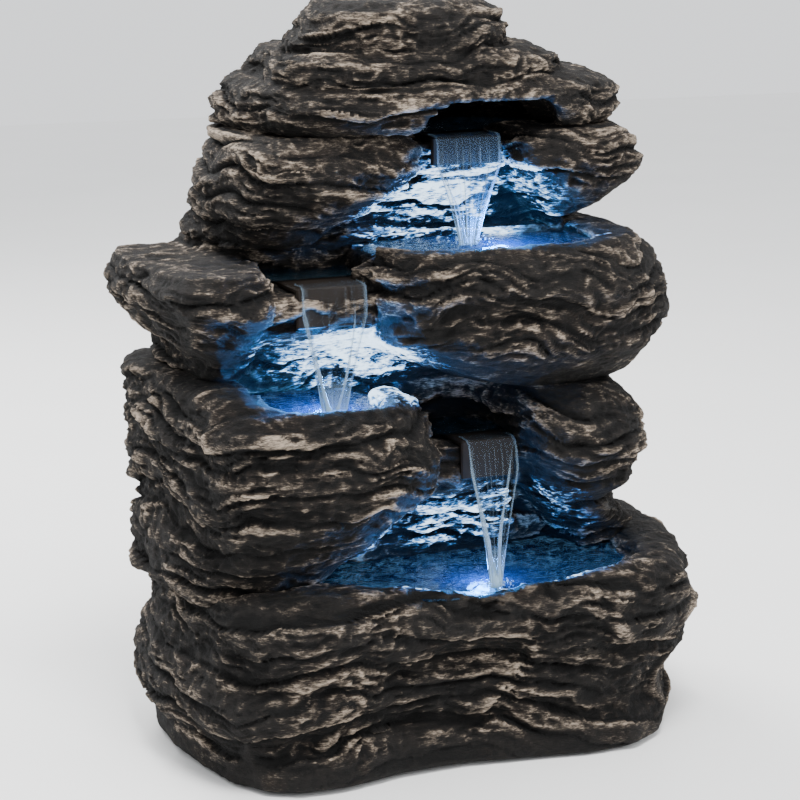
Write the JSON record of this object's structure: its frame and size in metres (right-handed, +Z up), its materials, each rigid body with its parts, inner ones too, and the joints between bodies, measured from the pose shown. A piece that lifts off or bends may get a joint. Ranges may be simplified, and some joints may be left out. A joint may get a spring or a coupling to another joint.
{
  "type": "tabletop water fountain",
  "caption": "Tabletop fountain of stacked layered rocks with a lift-off cap rock, staggered spillways into lit pools, a hidden pump and a rear access door.",
  "frame": {"origin": "on the table top, under the middle of the fountain's box", "axes": "+Z up, -Y towards the viewer, +X to the viewer's right"},
  "size_m": [0.2985, 0.1983, 0.375],
  "materials": {
    "cast_resin_rock": "cast polyresin, stained dark brown and dry-brushed",
    "spill_lip": "smooth moulded resin, wet satin",
    "pump_plastic": "black moulded ABS",
    "impeller_plastic": "white moulded acetal",
    "ceramic_shaft": "polished alumina",
    "filter_foam": "open-cell foam",
    "clear_hose": "clear soft vinyl",
    "rubber": "black moulded rubber",
    "lamp_plastic": "dark potted ABS",
    "lamp_board": "white solder-masked board",
    "lamp_lens": "clear polycarbonate, lit cool blue-white",
    "lead_sheath": "black flexible sheath"
  },
  "bodies": {
    "fountain": {"base_basin": "cast_resin_rock", "lower_tier": "cast_resin_rock", "middle_tier": "cast_resin_rock", "upper_tier": "cast_resin_rock", "spill_lip_top": "spill_lip", "spill_lip_middle": "spill_lip", "spill_lip_lower": "spill_lip", "pump_housing": "pump_plastic", "pump_cover": "pump_plastic", "impeller_shaft": "ceramic_shaft", "outlet_barb": "pump_plastic", "suction_cup_front_left": "rubber", "suction_cup_front_right": "rubber", "suction_cup_back_left": "rubber", "suction_cup_back_right": "rubber", "riser_hose": "clear_hose", "header_spout": "pump_plastic", "lamp_housing_upper": "lamp_plastic", "lamp_housing_middle": "lamp_plastic", "lamp_housing_lower": "lamp_plastic", "lamp_board_upper": "lamp_board", "lamp_board_middle": "lamp_board", "lamp_board_lower": "lamp_board", "lamp_lens_upper": "lamp_lens", "lamp_lens_middle": "lamp_lens", "lamp_lens_lower": "lamp_lens", "lamp_lead_upper": "lead_sheath", "lamp_lead_middle": "lead_sheath", "lamp_lead_lower": "lead_sheath", "pump_lead": "lead_sheath", "lead_joiner": "lamp_plastic", "lead_seal_upper": "rubber", "lead_seal_middle": "rubber", "cord_grommet": "rubber", "door_gasket": "rubber", "foot_front_left": "rubber", "foot_front_right": "rubber", "foot_back_left": "rubber", "foot_back_right": "rubber"},
    "cap": {"cap_rock": "cast_resin_rock"},
    "door": {"rear_door": "cast_resin_rock"},
    "impeller": {"impeller": "impeller_plastic"},
    "dial": {"flow_dial": "impeller_plastic"},
    "strainer": {"strainer": "pump_plastic", "filter_foam": "filter_foam"},
    "drain": {"drain_plug": "rubber", "drain_seal": "rubber"}
  },
  "joints": [
    {"name": "cap_lift", "type": "slide", "parent": "fountain", "child": "cap", "axis": [0, 0, 1], "range_m": [0, 0.06]},
    {"name": "door_pull", "type": "slide", "parent": "fountain", "child": "door", "axis": [0, 1, 0], "range_m": [0, 0.045]},
    {"name": "impeller_spin", "type": "hinge", "parent": "fountain", "child": "impeller", "pos_m": [0.0233, 0.0377, 0.037], "axis": [0, 1, 0], "continuous": true},
    {"name": "dial_turn", "type": "hinge", "parent": "fountain", "child": "dial", "pos_m": [0.0453, 0.0527, 0.031], "axis": [1, 0, 0], "range_deg": [0, 90]},
    {"name": "strainer_pull", "type": "slide", "parent": "fountain", "child": "strainer", "axis": [0, -1, 0], "range_m": [0, 0.02]},
    {"name": "drain_pull", "type": "slide", "parent": "fountain", "child": "drain", "axis": [0, 1, 0], "range_m": [0, 0.02]}
  ]
}
